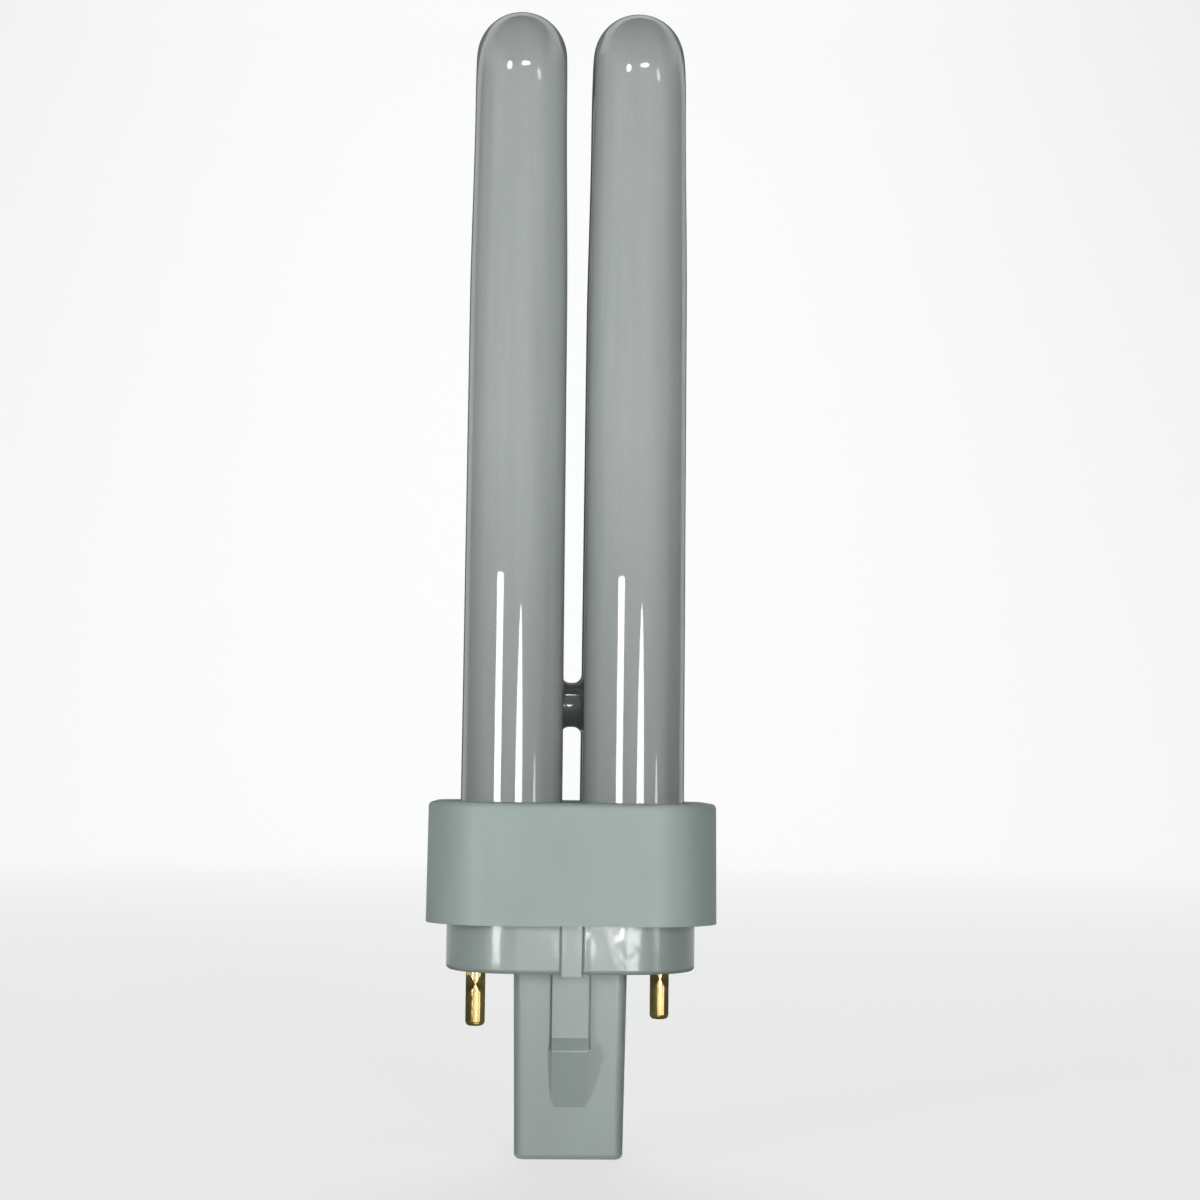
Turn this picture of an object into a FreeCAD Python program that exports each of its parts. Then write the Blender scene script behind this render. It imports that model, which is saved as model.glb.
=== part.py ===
import FreeCAD, Part
import math
import os

V = FreeCAD.Vector

# Plug-in compact fluorescent lamp with two U-bent tubes, standing on the end of its plug.
# Millimetres. Z runs up the lamp from the plug's end, and the front of the lamp faces -Y.

# Heights
LAMP_LENGTH = 138.0
PLUG_LENGTH = 21.8
DISC_HEIGHT = 5.6
COLLAR_HEIGHT = 13.9

# Glass tubes, a little thinner at the bends than at the cap
TUBE_RADIUS = 5.98
TUBE_RADIUS_AT_BEND = 5.75
LEG_PITCH_X = 14.3
LEG_PITCH_Y = 15.06
LEG_END_ROUNDING = 2.0
BRIDGE_RADIUS = 2.75
BRIDGE_ABOVE_COLLAR = 11.9
BRIDGE_BLEND = 1.0
PRESS_WIDTH = 8.6
PRESS_THICKNESS = 2.6
PRESS_HEIGHT = 2.7
PRESS_EDGE_FLAT = 0.03
EXHAUST_TIP_RADIUS = 1.5
EXHAUST_TIP_LENGTH = 3.4

# Collar, a rounded square that flares towards its foot
COLLAR_FLARE = 0.13
COLLAR_CORNER = 7.9
COLLAR_EDGE_ROUNDING = 0.6
COLLAR_WALL = 1.3
COLLAR_TOP_THICKNESS = 1.5
COLLAR_LEDGE = 0.7
SOCKET_DEPTH = 6.0
SOCKET_WALL = 0.8
SOCKET_CLEARANCE = 0.15
SOCKET_MARGIN = 0.33

# Base, in one moulding: disc, flange, spigot and plug
DISC_STEP = 2.21
DISC_CORNER = 8.2
DISC_EDGE_ROUNDING = 0.5
DISC_FLOOR = 1.8
DISC_WALL = 1.4
FLANGE_HEIGHT = 1.6
SPIGOT_HEIGHT = 3.6
SPIGOT_WALL = 1.1
SPIGOT_CLEARANCE = 0.1
PLUG_HALF_X_TOP = 6.62
PLUG_HALF_Y_TOP = 8.75
PLUG_DRAFT_X = 0.33
PLUG_DRAFT_Y = 0.25
PLUG_CORNER = 1.2
PLUG_END_ROUNDING = 0.6
PLUG_WALL = 1.2
PLUG_FLOOR = 1.5

# Keying ribs and latches, alike on the front and the back
KEY_WIDTH = 2.5
KEY_PROUD = 1.0
KEY_BELOW_DISC = 0.15
KEY_EDGE_ROUNDING = 0.25
KEY_ROOT_ROUNDING = 0.35
RIB_WIDTH = 4.2
RIB_PROUD = 0.85
RIB_END_Z = 14.1
LATCH_PROUD = 1.9
LATCH_PEAK_Z = 12.7
LATCH_END_Z = 6.1
LATCH_FOOT_PROUD = 0.12
LATCH_CORNER_WIDTH = 0.4
LATCH_CORNER_HEIGHT = 1.5
LATCH_RIDGE_ROUNDING = 0.25
GROOVE_WIDTH = 0.28
GROOVE_DEPTH = 0.3

# Contact pins, at opposite corners of the disc
PIN_INSET = 3.46
PIN_Y = 4.61
PIN_RADIUS = 1.15
PIN_SHANK_RADIUS = 1.35
PIN_EXPOSED = 6.85
PIN_TIP_ROUNDING = 0.55
PIN_HEAD_HEIGHT = 0.6
PIN_HEAD_RADIUS = 1.75
PIN_BORE_RADIUS = 0.45
PIN_TIP_WALL = 1.6
PIN_BOSS_RADIUS = 2.3
PIN_BOSS_HEIGHT = 1.4
CRIMP_COUNT = 4
CRIMP_HEIGHT = 2.1
CRIMP_DEPTH = 0.3
CRIMP_BELOW_DISC = 1.95

# Starter in the plug
BOTTLE_RADIUS = 3.5
BOTTLE_HEIGHT = 15.0
BOTTLE_FOOT_ROUNDING = 1.75
BOTTLE_TOP_ROUNDING = 1.15
BOTTLE_MARGIN = 0.7
BOTTLE_LEAD_OFFSET = 1.6
BOTTLE_SEAT_WALL = 0.7
BOTTLE_SEAT_HEIGHT = 2.2
STARTER_CLEARANCE = 0.1
CAPACITOR_WIDTH = 8.0
CAPACITOR_THICKNESS = 3.2
CAPACITOR_HEIGHT = 9.0
CAPACITOR_ROUNDING = 0.9
CAPACITOR_MARGIN = 1.3
RAIL_THICKNESS = 0.7
RAIL_HEIGHT = 2.0

# Wires, solder and cement
WIRE_RADIUS = 0.3
WIRE_BEND = 0.7
WIRE_OFFSET_IN_PRESS = 1.5
WIRE_DROP = 1.8
SOLDER_RADIUS = 0.95
SOLDER_X = 2.6
SOLDER_Y = -0.6
SOLDER_BELOW_DISC = 1.2
LEAD_OFFSET_IN_SOLDER = 0.36
LEAD_RISE = 1.6
STARTER_WIRE_RISE = 4.8
STARTER_WIRE_END = 0.1
CEMENT_THICKNESS = 2.6
CEMENT_BELOW_SOCKET = 0.9

# Levels and places worked out from the sizes above
FLANGE_Z = PLUG_LENGTH + DISC_HEIGHT
COLLAR_TOP_Z = FLANGE_Z + COLLAR_HEIGHT
LEDGE_Z = FLANGE_Z + FLANGE_HEIGHT
TOP_PLATE_Z = COLLAR_TOP_Z - COLLAR_TOP_THICKNESS
SOCKET_END_Z = COLLAR_TOP_Z - SOCKET_DEPTH
CEMENT_Z = SOCKET_END_Z - CEMENT_BELOW_SOCKET
LEG_END_Z = CEMENT_Z - LEG_END_ROUNDING
PRESS_Z = LEG_END_Z - PRESS_HEIGHT
BRIDGE_Z = COLLAR_TOP_Z + BRIDGE_ABOVE_COLLAR
BEND_RADIUS = LEG_PITCH_Y / 2
BEND_Z = LAMP_LENGTH - TUBE_RADIUS_AT_BEND - BEND_RADIUS
DISC_FLOOR_Z = PLUG_LENGTH + DISC_FLOOR
PIN_BOSS_Z = DISC_FLOOR_Z + PIN_BOSS_HEIGHT
PIN_TIP_Z = PLUG_LENGTH - PIN_EXPOSED
PIN_TOP_Z = PIN_BOSS_Z + PIN_HEAD_HEIGHT
CAVITY_HALF_WIDTH = LEG_PITCH_Y / 2 + TUBE_RADIUS + SOCKET_CLEARANCE + SOCKET_WALL + SOCKET_MARGIN
FLANGE_HALF_WIDTH = CAVITY_HALF_WIDTH + COLLAR_LEDGE
COLLAR_HALF_WIDTH_TOP = FLANGE_HALF_WIDTH + COLLAR_WALL
COLLAR_HALF_WIDTH_FOOT = COLLAR_HALF_WIDTH_TOP + COLLAR_FLARE
SPIGOT_HALF_WIDTH = CAVITY_HALF_WIDTH - SPIGOT_CLEARANCE
DISC_HALF_WIDTH = COLLAR_HALF_WIDTH_TOP - DISC_STEP
PIN_X = DISC_HALF_WIDTH - PIN_INSET
CRIMP_Z = PLUG_LENGTH - CRIMP_BELOW_DISC
PLUG_HALF_X_END = PLUG_HALF_X_TOP - PLUG_DRAFT_X
PLUG_HALF_Y_END = PLUG_HALF_Y_TOP - PLUG_DRAFT_Y
BOTTLE_Y = PLUG_HALF_Y_END - PLUG_WALL - BOTTLE_MARGIN - BOTTLE_RADIUS
CAPACITOR_Y = -(PLUG_HALF_Y_END - PLUG_WALL - CAPACITOR_MARGIN - CAPACITOR_THICKNESS / 2)
SOLDER_Z = PLUG_LENGTH - SOLDER_BELOW_DISC

# Depth by which shapes that become one are sunk into each other, distance within which two
# places count as the same, and largest share of a gap or a straight run that a bend may take
OVERLAP = 0.5
SAME = 0.001
BEND_SHARE = 0.45


def rounded_outline(half_x, half_y, corner, z):
    """Closed outline of a rectangle with round corners, at height z."""
    edges = []
    diagonal = corner * math.sqrt(0.5)
    for sx, sy in ((1, 1), (-1, 1), (-1, -1), (1, -1)):
        centre = V(sx * (half_x - corner), sy * (half_y - corner), z)
        along_x = V(centre.x + sx * corner, centre.y, z)
        along_y = V(centre.x, centre.y + sy * corner, z)
        middle = V(centre.x + sx * diagonal, centre.y + sy * diagonal, z)
        edges.append(Part.Arc(along_x, middle, along_y).toShape())
        if sx * sy > 0:
            edges.append(Part.makeLine(along_y, V(-centre.x, along_y.y, z)))
        else:
            edges.append(Part.makeLine(along_x, V(along_x.x, -centre.y, z)))
    return Part.Wire(Part.__sortEdges__(edges))


def square_outline(half_width, outer_half_width, outer_corner, z):
    """Outline that keeps an even distance inside a larger rounded square."""
    corner = outer_corner - (outer_half_width - half_width)
    return rounded_outline(half_width, half_width, corner, z)


def block(outline, height):
    """Straight prism that stands on a closed outline."""
    return Part.Face(outline).extrude(V(0, 0, height))


def tapered_block(low_outline, high_outline):
    """Solid between two outlines, with straight drafted sides."""
    return Part.makeLoft([low_outline, high_outline], True, True)


def round_level_edges(solid, z, radius):
    """Rounds the outer edges that lie flat at height z."""
    edges = [edge for edge in solid.Edges
             if abs(edge.BoundBox.ZMin - z) < SAME and abs(edge.BoundBox.ZMax - z) < SAME]
    return solid.makeFillet(radius, edges)


def collar_level(half_width, z):
    return square_outline(half_width, COLLAR_HALF_WIDTH_TOP, COLLAR_CORNER, z)


def leg_places():
    return [V(sx * LEG_PITCH_X / 2, sy * LEG_PITCH_Y / 2, 0) for sx in (-1, 1) for sy in (-1, 1)]


def pin_places():
    return {"left": V(-PIN_X, -PIN_Y, 0), "right": V(PIN_X, PIN_Y, 0)}


def tube_leg(place):
    """Straight leg, drawn slightly thinner towards the bend, with a rounded lower end."""
    foot = V(place.x, place.y, LEG_END_Z)
    leg = Part.makeCone(TUBE_RADIUS, TUBE_RADIUS_AT_BEND, BEND_Z - LEG_END_Z, foot, V(0, 0, 1))
    return round_level_edges(leg, LEG_END_Z, LEG_END_ROUNDING)


def tube_bend(x):
    """Half turn that joins a front leg to the rear leg behind it."""
    section = Part.Face(Part.Wire(Part.makeCircle(
        TUBE_RADIUS_AT_BEND, V(x, -BEND_RADIUS, BEND_Z), V(0, 0, 1))))
    return section.revolve(V(x, 0, BEND_Z), V(-1, 0, 0), 180)


def bridge():
    """Short glass tube between the rear legs."""
    foot = V(-LEG_PITCH_X / 2, BEND_RADIUS, BRIDGE_Z)
    return Part.makeCylinder(BRIDGE_RADIUS, LEG_PITCH_X, foot, V(1, 0, 0))


def round_bridge_roots(glass):
    """Blends the bridge into both legs, as molten glass does when they are fused."""
    gap = LEG_PITCH_X - 2 * TUBE_RADIUS
    reach = BRIDGE_RADIUS + OVERLAP
    roots = []
    for edge in glass.Edges:
        box = edge.BoundBox
        on_one_side = box.XMax * box.XMin > 0 and abs(box.Center.x) < LEG_PITCH_X / 2
        beside_bridge = box.ZMin > BRIDGE_Z - reach and box.ZMax < BRIDGE_Z + reach
        if on_one_side and beside_bridge:
            roots.append(edge)
    return glass.makeFillet(min(BRIDGE_BLEND, BEND_SHARE * gap), roots)


def press_seal(place):
    """Flattened end of an electrode leg, pressed round the two wires that pass through it."""
    width, thickness = PRESS_WIDTH / 2, PRESS_THICKNESS / 2
    top = LEG_END_Z + OVERLAP
    outline = rounded_outline(width, thickness, thickness - PRESS_EDGE_FLAT, PRESS_Z)
    seal = block(outline, top - PRESS_Z)
    seal.translate(place)
    return seal


def exhaust_tip(place):
    """Sealed stub through which the tube was pumped out and filled."""
    base = V(place.x, place.y, LEG_END_Z + OVERLAP)
    stub = Part.makeCylinder(EXHAUST_TIP_RADIUS, EXHAUST_TIP_LENGTH, base, V(0, 0, -1))
    tip = Part.makeSphere(EXHAUST_TIP_RADIUS, V(base.x, base.y, base.z - EXHAUST_TIP_LENGTH))
    return stub.fuse(tip)


def discharge_tube():
    pieces = [tube_leg(place) for place in leg_places()]
    pieces += [tube_bend(x) for x in (-LEG_PITCH_X / 2, LEG_PITCH_X / 2)]
    pieces.append(bridge())
    for place in leg_places():
        if place.y < 0:
            pieces.append(press_seal(place))
        elif place.x < 0:
            pieces.append(exhaust_tip(place))
    glass = pieces[0].multiFuse(pieces[1:]).removeSplitter()
    return round_bridge_roots(glass)


def collar_outside():
    foot = rounded_outline(COLLAR_HALF_WIDTH_FOOT, COLLAR_HALF_WIDTH_FOOT, COLLAR_CORNER, FLANGE_Z)
    top = rounded_outline(COLLAR_HALF_WIDTH_TOP, COLLAR_HALF_WIDTH_TOP, COLLAR_CORNER, COLLAR_TOP_Z)
    return round_level_edges(tapered_block(foot, top), COLLAR_TOP_Z, COLLAR_EDGE_ROUNDING)


def collar_cavity():
    """Room inside the collar: wide where the base's flange sits, narrower above its ledge."""
    seat = block(collar_level(FLANGE_HALF_WIDTH + SPIGOT_CLEARANCE, FLANGE_Z), FLANGE_HEIGHT)
    room = block(collar_level(CAVITY_HALF_WIDTH, FLANGE_Z), TOP_PLATE_Z - FLANGE_Z)
    return seat.fuse(room)


def cap_collar():
    """Upper moulding: a thin-walled box with a round socket for each leg of the tube."""
    collar = collar_outside().cut(collar_cavity())
    bore = TUBE_RADIUS + SOCKET_CLEARANCE
    for place in leg_places():
        foot = V(place.x, place.y, SOCKET_END_Z)
        sleeve_height = TOP_PLATE_Z - SOCKET_END_Z + OVERLAP
        collar = collar.fuse(Part.makeCylinder(bore + SOCKET_WALL, sleeve_height, foot))
    for place in leg_places():
        foot = V(place.x, place.y, SOCKET_END_Z)
        collar = collar.cut(Part.makeCylinder(bore, SOCKET_DEPTH, foot))
    return collar.removeSplitter()


def leg_cement(collar, tube):
    """Cement poured in from below: it bonds the legs to their sockets and to the collar's wall."""
    pour = block(collar_level(CAVITY_HALF_WIDTH, CEMENT_Z), CEMENT_THICKNESS)
    return pour.cut(collar).cut(tube)


def mirrored(shape, side):
    """The shape as made, at the back of the lamp, or its twin at the front."""
    return shape if side > 0 else shape.mirror(V(0, 0, 0), V(0, 1, 0))


def key_root(side_x):
    """Hollow fillet along the foot of the key rib, on one side of it."""
    z = PLUG_LENGTH + DISC_EDGE_ROUNDING
    reach = KEY_ROOT_ROUNDING
    turn = reach * (1 - math.sqrt(0.5))
    near, far = side_x * KEY_WIDTH / 2, side_x * (KEY_WIDTH / 2 + reach)
    on_rib = V(near, DISC_HALF_WIDTH + reach, z)
    middle = V(near + side_x * turn, DISC_HALF_WIDTH + turn, z)
    on_disc = V(far, DISC_HALF_WIDTH, z)
    behind_disc = V(far, DISC_HALF_WIDTH - OVERLAP, z)
    behind_rib = V(0, DISC_HALF_WIDTH - OVERLAP, z)
    inside_rib = V(0, DISC_HALF_WIDTH + reach, z)
    outline = Part.Wire([
        Part.Arc(on_rib, middle, on_disc).toShape(),
        Part.makeLine(on_disc, behind_disc),
        Part.makeLine(behind_disc, behind_rib),
        Part.makeLine(behind_rib, inside_rib),
        Part.makeLine(inside_rib, on_rib),
    ])
    return block(outline, FLANGE_Z - z)


def key_rib(side):
    """Narrow rib down the middle of the disc, with hollow fillets at its foot."""
    outer = DISC_HALF_WIDTH + KEY_PROUD
    height = DISC_HEIGHT + KEY_BELOW_DISC
    corner = V(-KEY_WIDTH / 2, PLUG_HALF_Y_TOP, PLUG_LENGTH - KEY_BELOW_DISC)
    rib = Part.makeBox(KEY_WIDTH, outer - PLUG_HALF_Y_TOP, height, corner)
    front_edges = [edge for edge in rib.Edges
                   if edge.BoundBox.YMin > outer - SAME and edge.BoundBox.XLength < SAME]
    rib = rib.makeFillet(KEY_EDGE_ROUNDING, front_edges)
    rib = rib.multiFuse([key_root(-1), key_root(1)])
    return mirrored(rib, side)


def plug_face_y(z):
    """Distance of the plug's drafted face from the axis, at height z."""
    return PLUG_HALF_Y_END + (PLUG_HALF_Y_TOP - PLUG_HALF_Y_END) * z / PLUG_LENGTH


def rib_and_latch(side):
    """Rib that leads down the plug's face to the wedge that snaps into the lamp holder."""
    left = -RIB_WIDTH / 2
    inside = PLUG_HALF_Y_END - OVERLAP
    profile = [
        V(left, inside, PLUG_LENGTH + OVERLAP),
        V(left, plug_face_y(PLUG_LENGTH) + RIB_PROUD, PLUG_LENGTH + OVERLAP),
        V(left, plug_face_y(RIB_END_Z) + RIB_PROUD, RIB_END_Z),
        V(left, plug_face_y(LATCH_PEAK_Z) + LATCH_PROUD, LATCH_PEAK_Z),
        V(left, plug_face_y(LATCH_END_Z) + LATCH_FOOT_PROUD, LATCH_END_Z),
        V(left, inside, LATCH_END_Z),
    ]
    outline = Part.makePolygon(profile + profile[:1])
    rib = Part.Face(outline).extrude(V(RIB_WIDTH, 0, 0))
    ridge = [edge for edge in rib.Edges
             if edge.BoundBox.XLength > RIB_WIDTH - SAME and abs(edge.BoundBox.ZMin - LATCH_PEAK_Z) < SAME]
    rib = rib.makeFillet(LATCH_RIDGE_ROUNDING, ridge)
    # Seen from the front, the foot of the wedge narrows between two slanted corners
    depth = plug_face_y(PLUG_LENGTH) + LATCH_PROUD - inside
    corner_x, corner_z = left + LATCH_CORNER_WIDTH, LATCH_END_Z + LATCH_CORNER_HEIGHT
    front = [
        V(left, inside, PLUG_LENGTH + OVERLAP),
        V(left, inside, corner_z),
        V(corner_x, inside, LATCH_END_Z),
        V(-corner_x, inside, LATCH_END_Z),
        V(-left, inside, corner_z),
        V(-left, inside, PLUG_LENGTH + OVERLAP),
    ]
    front = Part.Face(Part.makePolygon(front + front[:1])).extrude(V(0, depth, 0))
    return mirrored(rib.common(front), side)


def rib_groove(side_x, side):
    """Fine groove in the plug's face, close along one side of the rib down to its latch."""
    left = RIB_WIDTH / 2 if side_x > 0 else -RIB_WIDTH / 2 - GROOVE_WIDTH
    floor = PLUG_HALF_Y_END - GROOVE_DEPTH
    depth = PLUG_HALF_Y_TOP - floor
    groove = Part.makeBox(GROOVE_WIDTH, depth, PLUG_LENGTH - LATCH_PEAK_Z, V(left, floor, LATCH_PEAK_Z))
    return mirrored(groove, side)


def plug_outside():
    end = rounded_outline(PLUG_HALF_X_END, PLUG_HALF_Y_END, PLUG_CORNER, 0)
    top = rounded_outline(PLUG_HALF_X_TOP, PLUG_HALF_Y_TOP, PLUG_CORNER, PLUG_LENGTH)
    plug = round_level_edges(tapered_block(end, top), 0, PLUG_END_ROUNDING)
    return plug.cut([rib_groove(side_x, side) for side_x in (-1, 1) for side in (-1, 1)])


def base_cavity():
    """Hollow of the base: the plug's shaft, and the wider room above the disc's floor."""
    shaft = block(rounded_outline(PLUG_HALF_X_END - PLUG_WALL, PLUG_HALF_Y_END - PLUG_WALL,
                                  PLUG_CORNER / 2, PLUG_FLOOR), DISC_FLOOR_Z - PLUG_FLOOR)
    disc_inner = DISC_HALF_WIDTH - DISC_WALL
    room = block(square_outline(disc_inner, DISC_HALF_WIDTH, DISC_CORNER, DISC_FLOOR_Z),
                 FLANGE_Z - DISC_FLOOR_Z)
    neck = block(collar_level(min(SPIGOT_HALF_WIDTH - SPIGOT_WALL, disc_inner), FLANGE_Z),
                 FLANGE_HEIGHT + SPIGOT_HEIGHT)
    return shaft.fuse(room).fuse(neck)


def starter_seats():
    """Ring that steadies the glow bottle, and two rails for the capacitor, on the plug's floor."""
    foot = V(0, BOTTLE_Y, PLUG_FLOOR - OVERLAP)
    bore = BOTTLE_RADIUS + STARTER_CLEARANCE
    gap = CAPACITOR_THICKNESS / 2 + STARTER_CLEARANCE
    seats = [Part.makeCylinder(bore + BOTTLE_SEAT_WALL, BOTTLE_SEAT_HEIGHT + OVERLAP, foot)]
    for side in (-1, 1):
        near = CAPACITOR_Y + side * gap
        low_y = near if side > 0 else near - RAIL_THICKNESS
        corner = V(-CAPACITOR_WIDTH / 2, low_y, PLUG_FLOOR - OVERLAP)
        seats.append(Part.makeBox(CAPACITOR_WIDTH, RAIL_THICKNESS, RAIL_HEIGHT + OVERLAP, corner))
    room_height = max(BOTTLE_SEAT_HEIGHT, RAIL_HEIGHT)
    bottle_room = Part.makeCylinder(bore, room_height, V(0, BOTTLE_Y, PLUG_FLOOR))
    corner = V(-CAPACITOR_WIDTH / 2, CAPACITOR_Y - gap, PLUG_FLOOR)
    capacitor_room = Part.makeBox(CAPACITOR_WIDTH, 2 * gap, room_height, corner)
    return [seat.cut([bottle_room, capacitor_room]) for seat in seats]


def cap_base():
    """Lower moulding, open at the top: disc, flange and spigot above a long hollow plug."""
    disc = block(rounded_outline(DISC_HALF_WIDTH, DISC_HALF_WIDTH, DISC_CORNER, PLUG_LENGTH), DISC_HEIGHT)
    disc = round_level_edges(disc, PLUG_LENGTH, DISC_EDGE_ROUNDING)
    flange = block(collar_level(FLANGE_HALF_WIDTH, FLANGE_Z), FLANGE_HEIGHT)
    spigot = block(collar_level(SPIGOT_HALF_WIDTH, LEDGE_Z), SPIGOT_HEIGHT)
    outside = disc.multiFuse([flange, spigot, plug_outside()])
    outside = outside.multiFuse([key_rib(1), key_rib(-1), rib_and_latch(1), rib_and_latch(-1)])
    base = outside.cut(base_cavity())
    bosses = [Part.makeCylinder(PIN_BOSS_RADIUS, PIN_BOSS_HEIGHT + OVERLAP,
                                V(place.x, place.y, DISC_FLOOR_Z - OVERLAP))
              for place in pin_places().values()]
    base = base.multiFuse(bosses + starter_seats())
    for place in pin_places().values():
        hole_height = PIN_BOSS_Z - PLUG_LENGTH + 2 * OVERLAP
        hole_foot = V(place.x, place.y, PLUG_LENGTH - OVERLAP)
        base = base.cut(Part.makeCylinder(PIN_SHANK_RADIUS, hole_height, hole_foot))
    return base.removeSplitter()


def crimp_punch(place, angle):
    """Wedge that presses one vee-shaped dent into a pin, from the side that the angle gives."""
    tip = PIN_RADIUS - CRIMP_DEPTH
    back = PIN_RADIUS + OVERLAP
    half_height = CRIMP_HEIGHT / 2 * (back - tip) / CRIMP_DEPTH
    corners = [
        V(tip, -PIN_RADIUS, CRIMP_Z),
        V(back, -PIN_RADIUS, CRIMP_Z + half_height),
        V(back, -PIN_RADIUS, CRIMP_Z - half_height),
    ]
    wedge = Part.Face(Part.makePolygon(corners + corners[:1])).extrude(V(0, 2 * PIN_RADIUS, 0))
    wedge.rotate(V(0, 0, 0), V(0, 0, 1), angle)
    wedge.translate(place)
    return wedge


def contact_pin(place):
    """Hollow brass pin with a rounded tip, held at its shank and head, and crimped on its wire."""
    exposed = Part.makeCylinder(PIN_RADIUS, PIN_EXPOSED, V(place.x, place.y, PIN_TIP_Z))
    exposed = round_level_edges(exposed, PIN_TIP_Z, PIN_TIP_ROUNDING)
    shank_foot = V(place.x, place.y, PLUG_LENGTH)
    shank = Part.makeCylinder(PIN_SHANK_RADIUS, PIN_BOSS_Z - PLUG_LENGTH, shank_foot)
    head = Part.makeCylinder(PIN_HEAD_RADIUS, PIN_HEAD_HEIGHT, V(place.x, place.y, PIN_BOSS_Z))
    pin = exposed.multiFuse([shank, head])
    bore_foot = V(place.x, place.y, PIN_TIP_Z + PIN_TIP_WALL)
    pin = pin.cut(Part.makeCylinder(PIN_BORE_RADIUS, PIN_TOP_Z - bore_foot.z, bore_foot))
    turn = 360 / CRIMP_COUNT
    punches = [crimp_punch(place, turn * (count + 0.5)) for count in range(CRIMP_COUNT)]
    return pin.cut(punches).removeSplitter()


def wire_run(points, bend):
    """Round wire along straight runs, with an arc at each corner."""
    edges = []
    start = points[0]
    for before, corner, after in zip(points, points[1:], points[2:]):
        inward = (before - corner).normalize()
        outward = (after - corner).normalize()
        half = inward.getAngle(outward) / 2
        shorter = min((before - corner).Length, (after - corner).Length)
        setback = min(bend / math.tan(half), BEND_SHARE * shorter)
        radius = setback * math.tan(half)
        first = corner + inward * setback
        last = corner + outward * setback
        bisector = (inward + outward).normalize()
        middle = corner + bisector * (radius / math.sin(half) - radius)
        edges.append(Part.makeLine(start, first))
        edges.append(Part.Arc(first, middle, last).toShape())
        start = last
    edges.append(Part.makeLine(start, points[-1]))
    path = Part.Wire(edges)
    section = Part.Wire(Part.makeCircle(WIRE_RADIUS, points[0], points[1] - points[0]))
    return path.makePipeShell([section], True, True)


def press_exit(side, offset):
    """Place where a wire leaves the press seal of a front leg."""
    return V(side * (LEG_PITCH_X / 2 + offset), -BEND_RADIUS, PRESS_Z)


def pin_wire(side):
    """Wire from an electrode, over the rim of its contact pin and down inside it."""
    start = press_exit(side, WIRE_OFFSET_IN_PRESS)
    place = V(side * PIN_X, side * PIN_Y, 0)
    level = PRESS_Z - WIRE_DROP
    end_z = PIN_TIP_Z + PIN_TIP_WALL
    points = [start, V(start.x, start.y, level), V(place.x, place.y, level), V(place.x, place.y, end_z)]
    return wire_run(points, WIRE_BEND)


def starter_wire(side):
    """Wire from an electrode to the solder joint above the starter."""
    start = press_exit(side, -WIRE_OFFSET_IN_PRESS)
    joint = V(side * SOLDER_X, SOLDER_Y, SOLDER_Z)
    level = PRESS_Z - WIRE_DROP
    over_joint = joint + V(0, 0, STARTER_WIRE_RISE)
    points = [start, V(start.x, start.y, level), over_joint, joint + V(0, 0, STARTER_WIRE_END)]
    return wire_run(points, WIRE_BEND)


def starter_lead(side, foot, y_offset):
    """Lead of a starter component, bent over to the solder joint."""
    joint = V(side * SOLDER_X, SOLDER_Y + y_offset, SOLDER_Z)
    points = [foot, foot + V(0, 0, LEAD_RISE), joint - V(0, 0, LEAD_RISE), joint]
    return wire_run(points, WIRE_BEND)


def starter_bottle():
    """Glow switch in a small glass bottle with a domed top, a tip below and two leads above."""
    foot = V(0, BOTTLE_Y, PLUG_FLOOR)
    bottle = Part.makeCylinder(BOTTLE_RADIUS, BOTTLE_HEIGHT, foot)
    top = PLUG_FLOOR + BOTTLE_HEIGHT
    bottle = round_level_edges(bottle, PLUG_FLOOR, BOTTLE_FOOT_ROUNDING)
    bottle = round_level_edges(bottle, top, BOTTLE_TOP_ROUNDING)
    leads = [starter_lead(side, V(side * BOTTLE_LEAD_OFFSET, BOTTLE_Y, top), LEAD_OFFSET_IN_SOLDER)
             for side in (-1, 1)]
    return bottle.multiFuse(leads)


def starter_capacitor():
    """Flat dipped capacitor with two leads."""
    corner = V(-CAPACITOR_WIDTH / 2, CAPACITOR_Y - CAPACITOR_THICKNESS / 2, PLUG_FLOOR)
    body = Part.makeBox(CAPACITOR_WIDTH, CAPACITOR_THICKNESS, CAPACITOR_HEIGHT, corner)
    body = body.makeFillet(CAPACITOR_ROUNDING, body.Edges)
    top = PLUG_FLOOR + CAPACITOR_HEIGHT
    leads = [starter_lead(side, V(side * SOLDER_X, CAPACITOR_Y, top), -LEAD_OFFSET_IN_SOLDER)
             for side in (-1, 1)]
    return body.multiFuse(leads)


def solder_joint(side, wires):
    """Bead of solder round the ends of three wires."""
    bead = Part.makeSphere(SOLDER_RADIUS, V(side * SOLDER_X, SOLDER_Y, SOLDER_Z))
    return bead.cut(wires)


def lamp():
    tube = discharge_tube()
    collar = cap_collar()
    bottle = starter_bottle()
    capacitor = starter_capacitor()
    nodes = {
        "discharge_tube": tube,
        "cap_collar": collar,
        "cap_base": cap_base(),
        "leg_cement": leg_cement(collar, tube),
        "starter_bottle": bottle,
        "starter_capacitor": capacitor,
    }
    for name, side in (("left", -1), ("right", 1)):
        wire = starter_wire(side)
        nodes["contact_pin_" + name] = contact_pin(pin_places()[name])
        nodes["pin_wire_" + name] = pin_wire(side)
        nodes["starter_wire_" + name] = wire
        nodes["solder_joint_" + name] = solder_joint(side, [wire, bottle, capacitor])
    return nodes


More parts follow.
